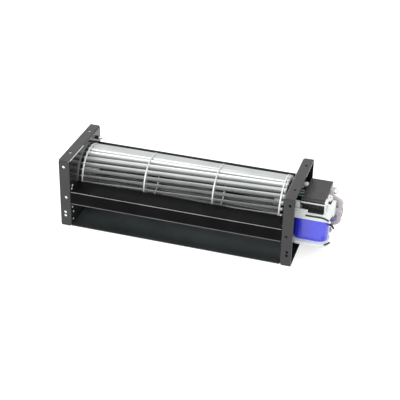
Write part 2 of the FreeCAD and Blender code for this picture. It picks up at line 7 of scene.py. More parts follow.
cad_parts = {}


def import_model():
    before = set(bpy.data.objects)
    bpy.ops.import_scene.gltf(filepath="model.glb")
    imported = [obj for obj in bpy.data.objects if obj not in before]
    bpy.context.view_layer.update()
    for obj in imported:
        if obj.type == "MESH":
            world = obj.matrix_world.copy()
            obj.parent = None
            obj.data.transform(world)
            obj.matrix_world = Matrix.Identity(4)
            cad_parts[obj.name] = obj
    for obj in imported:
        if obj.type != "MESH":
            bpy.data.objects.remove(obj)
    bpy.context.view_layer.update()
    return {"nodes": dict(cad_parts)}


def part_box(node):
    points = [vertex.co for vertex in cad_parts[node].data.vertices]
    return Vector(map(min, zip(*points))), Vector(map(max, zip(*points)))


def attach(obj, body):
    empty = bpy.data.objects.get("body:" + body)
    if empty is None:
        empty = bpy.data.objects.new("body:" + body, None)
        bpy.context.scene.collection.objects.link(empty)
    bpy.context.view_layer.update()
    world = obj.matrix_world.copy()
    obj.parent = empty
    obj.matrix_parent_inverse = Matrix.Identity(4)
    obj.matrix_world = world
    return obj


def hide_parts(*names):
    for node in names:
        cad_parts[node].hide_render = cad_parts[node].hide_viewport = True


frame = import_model()
nodes = frame["nodes"]
MM = 0.001

# Drum sizes as in the CAD source, in millimetres
AXIS_Y = 13.1
AXIS_Z = 45.5
BLADE_COUNT = 26
TIP_RADIUS = 32.2
ROOT_RADIUS = 25.6
CURVE_RADIUS = 7.1
BLADE_SHEET = 0.5
SKEW = 16.4
PHASE = 8.0
RING_RADIUS = 33.1
LEFT_END, FIRST_RING, SECOND_RING, RIGHT_END = -147.3, -68.876, 15.619, 95.5

# Casing and motor sizes as in the CAD source, in millimetres and degrees
LEFT_WEB = -150.2
RIGHT_WEB = 106.3
PLATE_FRONT = -50.0
STUD_Y, STUD_Z, STUD_RADIUS = 37.5, 77.7, 1.3
SCREW_ANGLE = 68
SCREW_CIRCLE = 23.2
SCREW_RADIUS = 1.7
LEAD_RADIUS = 1.05
BUSH_Y, BUSH_Z, BUSH_RADIUS = 10.9, 63.0, 3.35


# Camera of the photograph: turn, tilt and roll in degrees, place in metres

def camera():
    turn, tilt, roll = (math.radians(a) for a in (17.026, 30.698, 1.11))
    back = Vector((math.sin(turn) * math.cos(tilt), -math.cos(turn) * math.cos(tilt), math.sin(tilt)))
    right = Vector((math.cos(turn), math.sin(turn), 0))
    up = back.cross(right)
    side = right * math.cos(roll) + up * math.sin(roll)
    top = up * math.cos(roll) - right * math.sin(roll)
    data = bpy.data.cameras.new("camera")
    data.sensor_width = 36
    data.lens = 96.884
    data.shift_x = 0.02975
    data.shift_y = 0.01812
    data.clip_end = 20
    obj = bpy.data.objects.new("camera", data)
    place = Matrix((side, top, back)).transposed().to_4x4()
    place.translation = Vector((0.30636, -1.06356, 0.68410))
    obj.matrix_world = place
    bpy.context.scene.collection.objects.link(obj)
    bpy.context.scene.camera = obj


camera()


# Node helpers

class Nodes:
    """Small wrapper that adds nodes to one material and links them."""

    def __init__(self, name):
        self.material = bpy.data.materials.new(name)
        self.material.use_nodes = True
        self.tree = self.material.node_tree
        self.shader = self.tree.nodes["Principled BSDF"]
        self.output = self.tree.nodes["Material Output"]
        self.place = self.add("ShaderNodeTexCoord").outputs["Object"]

    def add(self, kind, **values):
        node = self.tree.nodes.new(kind)
        for key, value in values.items():
            setattr(node, key, value)
        return node

    def link(self, source, target):
        self.tree.links.new(source, target)

    def set(self, **values):
        for key, value in values.items():
            self.shader.inputs[key.replace("_", " ")].default_value = value

    def stretched(self, scale):
        mapping = self.add("ShaderNodeMapping")
        mapping.inputs["Scale"].default_value = scale
        self.link(self.place, mapping.inputs["Vector"])
        return mapping.outputs["Vector"]

    def noise(self, scale, detail, stretch=None):
        node = self.add("ShaderNodeTexNoise")
        node.inputs["Scale"].default_value = scale
        node.inputs["Detail"].default_value = detail
        self.link(self.stretched(stretch) if stretch else self.place, node.inputs["Vector"])
        return node.outputs["Fac"]

    def ramp(self, factor, *stops):
        node = self.add("ShaderNodeValToRGB")
        ends = node.color_ramp.elements
        while len(ends) < len(stops):
            ends.new(0.5)
        for end, (position, colour) in zip(ends, stops):
            end.position = position
            end.color = (*colour, 1) if len(colour) == 3 else colour
        self.link(factor, node.inputs["Fac"])
        return node.outputs["Color"]

    def spread(self, factor, low, high, start=0.0, end=1.0):
        node = self.add("ShaderNodeMapRange")
        for key, value in (("From Min", start), ("From Max", end), ("To Min", low), ("To Max", high)):
            node.inputs[key].default_value = value
        self.link(factor, node.inputs["Value"])
        return node.outputs["Result"]

    def bump(self, height, distance, strength, after=None):
        node = self.add("ShaderNodeBump")
        node.inputs["Distance"].default_value = distance
        node.inputs["Strength"].default_value = strength
        self.link(height, node.inputs["Height"])
        if after:
            self.link(after, node.inputs["Normal"])
        return node.outputs["Normal"]

    def feed(self, value, target):
        """Link a socket to the target, or set a plain value on it."""
        if isinstance(value, bpy.types.NodeSocket):
            self.link(value, target)
        else:
            target.default_value = value

    def maths(self, operation, *values):
        """Math node fed in order by sockets and plain numbers."""
        node = self.add("ShaderNodeMath", operation=operation)
        for number, value in enumerate(values):
            self.feed(value, node.inputs[number])
        return node.outputs[0]

    def axes(self):
        """X, Y and Z of the piece's own coordinates."""
        node = self.add("ShaderNodeSeparateXYZ")
        self.link(self.place, node.inputs["Vector"])
        return node.outputs

    def blend(self, factor, one, two):
        """Colour that goes from one to two as the factor rises."""
        node = self.add("ShaderNodeMix", data_type="RGBA")
        for value, key in ((factor, "Factor"), (one, "A"), (two, "B")):
            self.feed(value, node.inputs[key])
        return node.outputs["Result"]

    def fine_bands(self, pitch, direction, distortion=0.0):
        """Bands that repeat at a pitch in metres."""
        node = self.add("ShaderNodeTexWave", wave_type="BANDS", bands_direction=direction)
        node.inputs["Scale"].default_value = 2 * math.pi / pitch / 20
        node.inputs["Distortion"].default_value = distortion
        self.link(self.place, node.inputs["Vector"])
        return node.outputs["Fac"]

    def colour(self, socket):
        self.link(socket, self.shader.inputs["Base Color"])

    def roughness(self, socket):
        self.link(socket, self.shader.inputs["Roughness"])

    def normal(self, socket):
        self.link(socket, self.shader.inputs["Normal"])


def grey(level):
    return (level, level, level)


# Height in metres of the finest relief: orange peel, scratches and mould grain
FINE_BUMP = 0.00002


def painted(name, dark, light, rough, specular=0.5):
    """Black enamel on sheet steel with dust and a faint orange peel."""
    m = Nodes(name)
    m.set(Specular_IOR_Level=specular)
    m.colour(m.ramp(m.noise(35, 6), (0.3, dark), (0.75, light)))
    m.roughness(m.spread(m.noise(60, 5), *rough, 0.3, 0.7))
    m.normal(m.bump(m.noise(900, 2), FINE_BUMP, 0.1))
    return m.material


def metal(name, dark, light, rough, scratch=0.1, stretch=None, scale=400, metallic=1.0):
    """Bare metal, brushed or turned along the direction that stretch is small in."""
    m = Nodes(name)
    m.set(Metallic=metallic)
    m.colour(m.ramp(m.noise(25, 5), (0.3, dark), (0.7, light)))
    grain = m.noise(scale, 4, stretch)
    m.roughness(m.spread(grain, *rough, 0.3, 0.7))
    m.normal(m.bump(grain, FINE_BUMP, scratch))
    return m.material


def plastic(name, dark, light, rough, specular=0.5, grain=0.15):
    m = Nodes(name)
    m.set(Specular_IOR_Level=specular)
    m.colour(m.ramp(m.noise(70, 4), (0.3, dark), (0.7, light)))
    m.roughness(m.spread(m.noise(300, 3), *rough, 0.3, 0.7))
    m.normal(m.bump(m.noise(1500, 2), FINE_BUMP, grain))
    return m.material


def laminated(name, dark, light, rough, pitch):
    """Dipped stack of laminations: fine lines across X, with runs of varnish over them."""
    m = Nodes(name)
    m.set(Specular_IOR_Level=0.5)
    m.colour(m.ramp(m.noise(45, 6), (0.3, dark), (0.7, light)))
    m.roughness(m.spread(m.noise(120, 4), *rough, 0.3, 0.7))
    lines = m.bump(m.fine_bands(pitch, "X", 0.4), 0.00008, 0.35)
    m.normal(m.bump(m.noise(500, 3), 0.00003, 0.3, lines))
    return m.material


# Black enamel, and grey enamel for the painted highlights along the folds
PLATE_BLACK = painted("plate_black", (0.018, 0.018, 0.019), (0.028, 0.028, 0.029), (0.13, 0.19), 0.55)
TONGUE_BLACK = painted("tongue_black", (0.005, 0.005, 0.0055), (0.009, 0.009, 0.01), (0.14, 0.2), 0.03)
FOLD_HIGHLIGHT_LIGHT = painted("fold_highlight_light", grey(0.24), grey(0.42), (0.3, 0.4))
FOLD_HIGHLIGHT_DIM = painted("fold_highlight_dim", grey(0.1), grey(0.17), (0.3, 0.4))
FOLD_HIGHLIGHT_BRIGHT = painted("fold_highlight_bright", grey(0.7), grey(0.95), (0.3, 0.4))

# Sheet and turned metal of the drum
# Blade tabs and end disc rims are lighter than the blades and discs they belong to: painted highlights
TAB_HIGHLIGHT_METAL = metal("tab_highlight_metal", grey(0.88), grey(0.97), (0.3, 0.4), metallic=0.15)
RIM_METAL = metal("rim_metal", grey(0.7), grey(0.84), (0.4, 0.5), metallic=0.6)
DISC_RIM_HIGHLIGHT = metal("disc_rim_highlight", grey(0.84), grey(0.95), (0.4, 0.5), metallic=0.4)
DISC_METAL = metal("disc_metal", grey(0.6), grey(0.75), (0.25, 0.38))
HUB_METAL = metal("hub_metal", grey(0.42), grey(0.56), (0.22, 0.34), 0.25, (60, 3, 3))
SHAFT_METAL = metal("shaft_metal", grey(0.5), grey(0.62), (0.14, 0.22), 0.15, (60, 3, 3))

# Fixings, castings and iron of the motor
ZINC = metal("zinc", (0.62, 0.58, 0.61), (0.76, 0.72, 0.74), (0.25, 0.38), 0.2)
RIVET_METAL = metal("rivet_metal", (0.8, 0.79, 0.8), (0.92, 0.9, 0.91), (0.3, 0.4), metallic=0.6)
SPACER_METAL = metal("spacer_metal", (0.88, 0.8, 0.82), (0.96, 0.9, 0.91), (0.4, 0.5), metallic=0.1)
CAST = metal("cast_aluminium", (0.44, 0.42, 0.43), (0.64, 0.6, 0.61), (0.32, 0.46), 0.9,
             scale=900, metallic=0.6)
# Near-black cast metal of the inner bracket: painted shade for the shadow it lies in between plate and
# stack
SHADED_CAST = metal("shaded_cast", grey(0.03), grey(0.06), (0.4, 0.5), 0.5, scale=900)
BRONZE = metal("bronze", (0.36, 0.22, 0.09), (0.48, 0.3, 0.13), (0.35, 0.5), 0.6, scale=900)
COPPER = metal("copper", (0.6, 0.28, 0.15), (0.75, 0.38, 0.22), (0.25, 0.4), 0.2)
CAGE = metal("armature_iron", grey(0.2), grey(0.32), (0.35, 0.5), 0.3, (40, 3, 3))
STACK = laminated("stack_black", grey(0.014), grey(0.03), (0.2, 0.3), 0.0005)

# Plastics and rubber
BOBBIN = plastic("bobbin_white", (0.85, 0.9, 0.88), (0.93, 0.96, 0.94), (0.3, 0.42))
LEAD = plastic("lead_black", (0.012, 0.014, 0.012), (0.022, 0.024, 0.022), (0.35, 0.5))
RUBBER = plastic("rubber_black", grey(0.008), grey(0.018), (0.55, 0.7), 0.3, 0.4)
GREEN = plastic("bush_green", (0.05, 0.14, 0.115), (0.1, 0.24, 0.2), (0.12, 0.2), 0.9)
# Pale green of the bush ribs: a painted highlight on the green bush
BUSH_HIGHLIGHT_GREEN = plastic("bush_highlight_green", (0.62, 0.84, 0.76), (0.74, 0.93, 0.86), (0.25, 0.35), 0.7)


def film(name):
    """Blue wrapping film over the winding: fine turns beneath it, a darker band at its left end that is
    a painted shadow of the end plate, and a seam.
    """
    m = Nodes(name)
    m.set(Specular_IOR_Level=0.6, Coat_Weight=0.6, Coat_Roughness=0.08)
    along = m.axes()["X"]
    cloud = m.noise(60, 4)
    base = m.ramp(cloud, (0.3, (0.068, 0.073, 0.8)), (0.7, (0.09, 0.095, 0.9)))
    # Darker band at the left end: painted shadow of the end plate; the thin line after it is the film's
    # seam
    plate_shadow = m.spread(along, 0, 1, 0.1216, 0.1206)
    seam = m.maths("COMPARE", along, 0.1503, 0.0004)
    shadow_and_seam = m.maths("MAXIMUM", plate_shadow, m.maths("MULTIPLY", seam, 0.45))
    m.colour(m.blend(shadow_and_seam, base, (0.025, 0.033, 0.8, 1)))
    m.roughness(m.spread(cloud, 0.2, 0.3, 0.3, 0.7))
    turns = m.bump(m.fine_bands(0.0006, "Z"), 0.00003, 0.1)
    m.normal(m.bump(cloud, 0.0003, 0.15, turns))
    return m.material


COIL = film("coil_blue")


def blade_sheet(name):
    """Rolled sheet of the blades, bright at their tips, with painted shade darkening them towards their
    roots.
    """
    m = Nodes(name)
    m.set(Metallic=0.55)
    place = m.axes()
    squares = [m.maths("POWER", m.maths("SUBTRACT", place[axis], middle * MM), 2)
               for axis, middle in (("Y", AXIS_Y), ("Z", AXIS_Z))]
    reach = m.maths("SQRT", m.maths("ADD", *squares))
    cloud = m.noise(25, 5)
    bright = m.ramp(cloud, (0.3, (0.54, 0.56, 0.555)), (0.7, (0.64, 0.66, 0.655)))
    painted_root_shade = m.ramp(cloud, (0.3, (0.15, 0.165, 0.165)), (0.7, (0.23, 0.245, 0.245)))
    # Darker towards the roots, where the blades shade each other: painted shade
    m.colour(m.blend(m.spread(reach, 0, 1, 0.0262, 0.0292), painted_root_shade, bright))
    grain = m.noise(30, 4, (0.6, 22, 22))
    m.roughness(m.spread(grain, 0.27, 0.35, 0.3, 0.7))
    m.normal(m.bump(grain, FINE_BUMP, 0.02))
    return m.material


BLADE_METAL = blade_sheet("blade_metal")


def duct_sheet(name):
    """Black sheet of the scroll, with grey-green painted light on the floor deep in its duct."""
    m = Nodes(name)
    m.set(Specular_IOR_Level=0.3)
    place = m.axes()
    low = m.spread(place["Z"], 1, 0, 0.018, 0.034)
    deep = m.spread(place["Y"], 0.3, 1, -0.042, -0.02)
    bare_sheet = m.ramp(m.noise(35, 6), (0.3, (0.006, 0.0065, 0.007)), (0.75, (0.011, 0.012, 0.012)))
    painted_floor_light = m.ramp(m.noise(14, 5), (0.3, (0.065, 0.075, 0.078)), (0.7, (0.11, 0.124, 0.128)))
    # Lighter grey-green low on the floor and further into the duct: painted light
    m.colour(m.blend(m.maths("MULTIPLY", low, deep), bare_sheet, painted_floor_light))
    m.roughness(m.spread(m.noise(60, 5), 0.12, 0.2, 0.3, 0.7))
    m.normal(m.bump(m.noise(900, 2), FINE_BUMP, 0.1))
    return m.material


DUCT_BLACK = duct_sheet("duct_black")

FINISH = {
    "right_end_plate": PLATE_BLACK, "left_end_plate": PLATE_BLACK, "scroll_casing": DUCT_BLACK,
    "tongue_plate": TONGUE_BLACK, "web_stud": RIVET_METAL, "stud_grommet": RUBBER,
    "left_mount_ring": RUBBER, "left_hub": HUB_METAL, "right_hub": HUB_METAL,
    "left_stub_shaft": SHAFT_METAL, "motor_shaft": SHAFT_METAL, "stator_stack": STACK,
    "core_bar": STACK, "armature": CAGE, "bobbin": BOBBIN, "coil": COIL, "coil_leads": LEAD,
    "damping_bush": GREEN, "outer_bracket": CAST, "inner_bracket": SHADED_CAST, "terminals": ZINC,
    "motor_screws": ZINC, "motor_nuts": ZINC, "motor_spacers": SPACER_METAL,
    "middle_ring_1": RIM_METAL, "middle_ring_2": RIM_METAL,
}


def finish_of(name):
    """Material of a CAD node."""
    if name in FINISH:
        return FINISH[name]
    if name.startswith("blade"):
        return BLADE_METAL
    if name.endswith("bearing"):
        return BRONZE
    if name.endswith("shading_ring"):
        return COPPER
    return DISC_METAL


for name, node in nodes.items():
    node.data.materials.clear()
    node.data.materials.append(finish_of(name))


# Mesh helpers: everything is drawn in millimetres in the row frame and scaled at the end

def loft(bm, rows, closed=False):
    """Skin outlines one after another; the ends are capped, or joined when closed."""
    rings = [[bm.verts.new(point) for point in row] for row in rows]
    pairs = list(zip(rings, rings[1:]))
    if closed:
        pairs.append((rings[-1], rings[0]))
    for one, two in pairs:
        for i in range(len(one)):
            j = (i + 1) % len(one)
            bm.faces.new((one[i], one[j], two[j], two[i]))
    if not closed:
        bm.faces.new(rings[0])
        bm.faces.new(list(reversed(rings[-1])))


def piece(name, bm, material, body, stands_for=(), sharp=30):
    """Turn a mesh in millimetres into a piece that rides on a body."""
    bmesh.ops.recalc_face_normals(bm, faces=bm.faces)
    bmesh.ops.scale(bm, vec=(MM, MM, MM), verts=bm.verts)
    for face in bm.faces:
        face.smooth = True
    for edge in bm.edges:
        if len(edge.link_faces) == 2 and edge.calc_face_angle() > math.radians(sharp):
            edge.smooth = False
    mesh = bpy.data.meshes.new(name)
    bm.to_mesh(mesh)
    bm.free()
    obj = bpy.data.objects.new(name, mesh)
    bpy.context.scene.collection.objects.link(obj)
    mesh.materials.append(material)
    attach(obj, body)
    if stands_for:
        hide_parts(*stands_for)
    return obj


def turned_ring(bm, profile, y, z, steps):
    """Ring round an axis along X through (y, z), from a closed profile of (x, radius)."""
    rows = []
    for step in range(steps):
        turn = 2 * math.pi * step / steps
        rows.append([(x, y - radius * math.cos(turn), z + radius * math.sin(turn))
                     for x, radius in profile])
    loft(bm, rows, closed=True)


def smooth_path(points, steps=6):
    """Points of a smooth curve through the given ones."""
    nodes = [Vector(point) for point in points]
    nodes = [2 * nodes[0] - nodes[1]] + nodes + [2 * nodes[-1] - nodes[-2]]
    path = []
    for a, b, c, d in zip(nodes, nodes[1:], nodes[2:], nodes[3:]):
        for step in range(steps):
            t = step / steps
            path.append(0.5 * (2 * b + (c - a) * t + (2 * a - 5 * b + 4 * c - d) * t * t
                               + (3 * b - a - 3 * c + d) * t * t * t))
    path.append(nodes[-2])
    return path


def tube(bm, path, radii, sides=14):
    """Round bar along a path, with a radius for each of its points."""
    rows = []
    across = Vector((0, 0.31, 1))
    for number, point in enumerate(path):
        run = (path[min(number + 1, len(path) - 1)] - path[max(number - 1, 0)]).normalized()
        across = (across - run * across.dot(run)).normalized()
        other = run.cross(across)
        rows.append([point + (across * math.cos(2 * math.pi * i / sides)
                              + other * math.sin(2 * math.pi * i / sides)) * radii[number]
                     for i in range(sides)])
    loft(bm, rows)


def rounded(x0, x1, y0, y1, radius, inset=0.0, steps=10):
    """Corner points of a rounded rectangle, going round once."""
    x0, x1, y0, y1 = x0 + inset, x1 - inset, y0 + inset, y1 - inset
    points = []
    for cx, cy, first in ((x1 - radius, y0 + radius, -90), (x1 - radius, y1 - radius, 0),
                          (x0 + radius, y1 - radius, 90), (x0 + radius, y0 + radius, 180)):
        for step in range(steps + 1):
            turn = math.radians(first + 90 * step / steps)
            points.append((cx + radius * math.cos(turn), cy + radius * math.sin(turn)))
    return points


# Drum blades with their true smooth curve and rolled ends

def blade_point(x, reach, share):
    """Point of a blade's section, share from 0 at its root to 1 at its tip."""
    turn = math.asin((TIP_RADIUS - ROOT_RADIUS) / CURVE_RADIUS) * share
    return (x, -ROOT_RADIUS - reach * math.sin(turn), CURVE_RADIUS - reach * math.cos(turn))


def turned(point, degrees):
    """Point (x, y, z) of the front blade turned up round the drum's axis."""
    x, y, z = point
    c, s = math.cos(math.radians(degrees)), math.sin(math.radians(degrees))
    return (x, AXIS_Y + y * c + z * s, AXIS_Z - y * s + z * c)


def blade_turn(number, x):
    """Angle of a blade round the drum's axis, in degrees, at a place along it."""
    return PHASE + SKEW * (x - LEFT_END) / (RIGHT_END - LEFT_END) + 360 * (number - 1) / BLADE_COUNT


def blade(number):
    """One skewed blade, from its left tab to its right one."""
    node = "blade_%02d" % number
    low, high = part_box(node)
    start, end = low.x / MM, high.x / MM
    steps, parts = 36, 10
    outline = [(CURVE_RADIUS + BLADE_SHEET / 2, i / parts) for i in range(parts + 1)]
    outline += [(CURVE_RADIUS - BLADE_SHEET / 2, i / parts) for i in range(parts, -1, -1)]
    bm = bmesh.new()
    rows = []
    for step in range(steps + 1):
        x = start + (end - start) * step / steps
        turn = blade_turn(number, x)
        rows.append([turned(blade_point(x, *spot), turn) for spot in outline])
    loft(bm, rows)
    piece("smooth_" + node, bm, BLADE_METAL, "rotor", [node])


for number in range(1, BLADE_COUNT + 1):
    blade(number)


def blade_tabs():
    """Blade ends past the two end discs, rolled up into beads coloured near-white as a painted
    highlight, larger on the right.
    """
    bm = bmesh.new()
    low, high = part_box("blade_01")
    steps = 12
    for number in range(1, BLADE_COUNT + 1):
        for x, radius, first, last in ((low.x / MM, 0.85, 0.5, 0.95),
                                       (high.x / MM - 2.0, 1.9, 0.1, 0.95)):
            path = []
            radii = []
            for step in range(steps + 1):
                share = first + (last - first) * step / steps
                bulge = math.sqrt(max(0.0, 1 - (2 * step / steps - 1) ** 4))
                path.append(Vector(turned(blade_point(x, CURVE_RADIUS, share), blade_turn(number, x))))
                radii.append(max(0.12, radius * bulge))
            tube(bm, path, radii)
    piece("blade_tabs", bm, TAB_HIGHLIGHT_METAL, "rotor")


blade_tabs()


def rolled_rims(name, places, half, material):
    """Rolled rims of a given half width round discs or rings at some places along the drum."""
    bm = bmesh.new()
    steps = 9
    for x in places:
        profile = []
        for step in range(steps + 1):
            turn = math.pi * step / steps
            profile.append((x - half * math.cos(turn), RING_RADIUS - 0.12 + 0.22 * math.sin(turn)))
        profile += [(x + half, RING_RADIUS - 0.4), (x - half, RING_RADIUS - 0.4)]
        turned_ring(bm, profile, AXIS_Y, AXIS_Z, 120)
    piece(name, bm, material, "rotor")


# The end discs' rims are coloured lighter than the discs as a painted highlight
rolled_rims("disc_rims", (LEFT_END, RIGHT_END), 1.0, DISC_RIM_HIGHLIGHT)
rolled_rims("ring_rims", (FIRST_RING, SECOND_RING), 0.75, RIM_METAL)


# Painted highlights in grey enamel along the folds, and small rivets in the webs

def fold_highlight(name, centre, radius, first, last, low, high, along, material):
    """Thin arc of painted highlight over a fold that runs along X or Y, between two angles round the
    fold's centre.
    """
    bm = bmesh.new()
    rows = []
    for place in (low, high):
        outer = []
        inner = []
        for step in range(7):
            turn = math.radians(first + (last - first) * step / 6)
            for line, reach in ((outer, radius + 0.03), (inner, radius - 0.15)):
                a = centre[0] + reach * math.cos(turn)
                z = centre[1] + reach * math.sin(turn)
                line.append((place, a, z) if along == "X" else (a, place, z))
        rows.append(outer + inner[::-1])
    loft(bm, rows)
    piece(name, bm, material, "housing")


INNER_RUN = (LEFT_WEB + 0.4, RIGHT_WEB - 0.4)
TOP_CORNER = (-49.0, 87.0)
# Strips of painted highlight: the tongue's two folds, two dashes on the right plate's top front corner,
# and the left web's top bend
fold_highlight("upper_fold_highlight", (-47.5, 45.6), 2.0, 106, 160, *INNER_RUN, "X", FOLD_HIGHLIGHT_LIGHT)
fold_highlight("lower_fold_highlight", (-47.5, 31.3), 2.0, 176, 218, *INNER_RUN, "X", FOLD_HIGHLIGHT_DIM)
fold_highlight("corner_highlight_1", TOP_CORNER, 1.0, 108, 155, 107.6, 110.6, "X", FOLD_HIGHLIGHT_LIGHT)
fold_highlight("corner_highlight_2", TOP_CORNER, 1.0, 108, 155, 112.4, 114.2, "X", FOLD_HIGHLIGHT_LIGHT)
fold_highlight("left_web_fold_highlight", (LEFT_WEB - 1.8, 86.2), 1.8, 0, 40, -47.0, -5.0, "Y", FOLD_HIGHLIGHT_BRIGHT)


def rivets():
    """Small domed rivets that fill the pilot holes of both webs."""
    bm = bmesh.new()
    radius, rise = 1.5, 0.75
    for x, side in ((LEFT_WEB, 1), (RIGHT_WEB, -1)):
        for depth, height in ((7.4, 52.2), (5.0, 49.1), (5.0, 24.4), (7.0, 17.1), (5.7, 7.5)):
            rows = []
            for step in range(5):
                turn = math.radians(88 * step / 4)
                reach = radius * math.cos(turn)
                rows.append([(x + side * (0.05 + rise * math.sin(turn)),
                              PLATE_FRONT + depth + reach * math.cos(math.pi * i / 8),
                              height + reach * math.sin(math.pi * i / 8))
                             for i in range(16)])
            loft(bm, rows)
    piece("web_rivets", bm, RIVET_METAL, "housing")


rivets()


# Motor details

def coil_winding():
    """Winding under its wrapping film: rounded corners and softly bulging shoulders."""
    bm = bmesh.new()
    corner = 10
    levels = ((24.55, 1.3), (24.9, 0.7), (25.5, 0.35), (27.0, 0.1), (32.0, 0.0), (45.0, 0.0),
              (50.0, 0.1), (51.5, 0.35), (52.1, 0.7), (52.45, 1.3))
    rows = []
    for z, inset in levels:
        outline = rounded(113.25, 154.35, -27.05, -2.95, corner - inset, inset, 12)
        rows.append([(x, y, z) for x, y in outline])
    loft(bm, rows)
    piece("coil_winding", bm, COIL, "housing", ["coil"], 40)


def leads():
    """Two sleeved leads of the coil: over the upper flange's corner, and round the lower one's."""
    upper = [(128.0, -27.7, 57.4), (137.0, -27.7, 57.5), (146.0, -28.0, 57.8), (151.2, -29.1, 57.5),
             (155.2, -29.3, 55.7), (158.0, -29.0, 52.4), (160.5, -28.4, 48.2), (160.8, -27.0, 46.2),
             (159.6, -23.0, 44.6), (157.2, -18.6, 43.8), (154.2, -16.0, 43.5)]
    lower = [(153.0, -31.2, 24.7), (154.0, -30.9, 25.6), (155.8, -29.6, 25.9), (157.0, -27.4, 25.9),
             (157.4, -25.2, 25.5), (157.2, -24.2, 24.3)]
    bm = bmesh.new()
    for points in (upper, lower):
        path = smooth_path(points)
        tube(bm, path, [LEAD_RADIUS] * len(path))
    piece("sleeved_leads", bm, LEAD, "housing", ["coil_leads"])


def lead_clip():
    """Short white clip that holds the upper lead to the bobbin's corner."""
    bm = bmesh.new()
    clip = [Vector(point) for point in ((155.1, -29.3, 55.9), (155.6, -29.3, 55.2),
                                        (156.6, -29.2, 54.1), (157.0, -29.15, 53.6))]
    tube(bm, clip, [1.2, 1.4, 1.4, 1.2])
    piece("lead_clip", bm, BOBBIN, "housing")


BOBBIN_TRIMS = (
    # x from and to, y from and to, z from and to
    (118.5, 122.0, -17.5, -11.0, 56.55, 68.0),
    (111.0, 131.0, -22.0, -19.0, 60.5, 62.0),
    (128.9, 131.0, -22.0, -19.0, 56.9, 60.6),
    (130.9, 146.9, -22.0, -19.0, 56.9, 58.5),
)


def trimming_tool():
    """Boxes that the bobbin is cut with, removed again afterwards."""
    bm = bmesh.new()
    for x0, x1, y0, y1, z0, z1 in BOBBIN_TRIMS:
        loft(bm, [[(x, y0, z0), (x, y1, z0), (x, y1, z1), (x, y0, z1)] for x in (x0, x1)])
    bmesh.ops.recalc_face_normals(bm, faces=bm.faces)
    bmesh.ops.scale(bm, vec=(MM, MM, MM), verts=bm.verts)
    mesh = bpy.data.meshes.new("knife")
    bm.to_mesh(mesh)
    bm.free()
    return bpy.data.objects.new("knife", mesh)


def trimmed_copy(source):
    """Mesh of a copy of a CAD node, less the trimming boxes."""
    knife = trimming_tool()
    raw = bpy.data.objects.new("raw", source.data.copy())
    for obj in (knife, raw):
        bpy.context.scene.collection.objects.link(obj)
    bm = bmesh.new()
    bm.from_mesh(raw.data)
    bmesh.ops.remove_doubles(bm, verts=bm.verts, dist=1e-6)
    bm.to_mesh(raw.data)
    bm.free()
    cut = raw.modifiers.new("cut", "BOOLEAN")
    cut.operation = "DIFFERENCE"
    cut.solver = "EXACT"
    cut.use_self = True
    cut.object = knife
    bpy.context.view_layer.update()
    depsgraph = bpy.context.evaluated_depsgraph_get()
    made = bpy.data.meshes.new_from_object(raw.evaluated_get(depsgraph))
    for obj in (knife, raw):
        mesh = obj.data
        bpy.data.objects.remove(obj)
        bpy.data.meshes.remove(mesh)
    return made


def moulded_bobbin():
    """The CAD bobbin with its left cheek, step and sill trimmed finely and every edge rounded."""
    made = trimmed_copy(nodes["bobbin"])
    bm = bmesh.new()
    bm.from_mesh(made)
    bpy.data.meshes.remove(made)
    bmesh.ops.scale(bm, vec=(1 / MM, 1 / MM, 1 / MM), verts=bm.verts)
    bmesh.ops.remove_doubles(bm, verts=bm.verts, dist=0.001)
    bmesh.ops.dissolve_limit(bm, angle_limit=math.radians(1), verts=bm.verts, edges=bm.edges)
    edges = [edge for edge in bm.edges
             if len(edge.link_faces) == 2 and edge.calc_face_angle() > math.radians(50)]
    bmesh.ops.bevel(bm, geom=edges, offset=0.25, segments=2, profile=0.5, affect="EDGES",
                    clamp_overlap=True)
    piece("moulded_bobbin", bm, BOBBIN, "housing", ["bobbin"], 60)


def bobbin_bridge():
    """Thin strap of the bobbin that crosses in front of the stack from cheek to tower."""
    bm = bmesh.new()
    outline = rounded(-16.3, -14.75, 66.2, 67.5, 0.35, 0, 4)
    loft(bm, [[(x, y, z) for y, z in outline] for x in (119.6, 147.6)])
    piece("bobbin_bridge", bm, BOBBIN, "housing")


def terminal_tabs():
    """Flat tabs with cut corners and a round hole, in place of the plain CAD blades."""
    bm = bmesh.new()
    middle, half_sheet, hole = 152.3, 0.4, 0.75
    for y in (-14.3, -10.3):
        outline = [(-1.2, 71.4), (1.2, 71.4), (1.2, 74.2), (2.6, 75.4), (2.6, 79.8), (1.4, 81.4),
                   (-1.4, 81.4), (-2.6, 79.8), (-2.6, 75.4), (-1.2, 74.2)]
        circle = [(hole * math.cos(math.pi * i / 8), 78.3 + hole * math.sin(math.pi * i / 8))
                  for i in range(16)]
        edges = []
        for loop in (outline, circle):
            verts = [bm.verts.new((middle + a, y - half_sheet, b)) for a, b in loop]
            edges += [bm.edges.new((verts[i], verts[(i + 1) % len(verts)])) for i in range(len(verts))]
        filled = bmesh.ops.triangle_fill(bm, use_beauty=True, use_dissolve=False, edges=edges)
        faces = [item for item in filled["geom"] if isinstance(item, bmesh.types.BMFace)]
        pushed = bmesh.ops.extrude_face_region(bm, geom=faces)
        moved = [item for item in pushed["geom"] if isinstance(item, bmesh.types.BMVert)]
        bmesh.ops.translate(bm, vec=(0, 2 * half_sheet, 0), verts=moved)
    piece("terminal_tabs", bm, ZINC, "housing", ["terminals"])


def terminal_shade_seat():
    """Dark seat that both terminals stand in, black as a painted shade of their slots."""
    bm = bmesh.new()
    outline = rounded(150.6, 154.3, -16.9, -8.6, 0.5, 0, 4)
    loft(bm, [[(x, y, z) for x, y in outline] for z in (70.6, 71.7)])
    piece("terminal_shade_seat", bm, RUBBER, "housing")


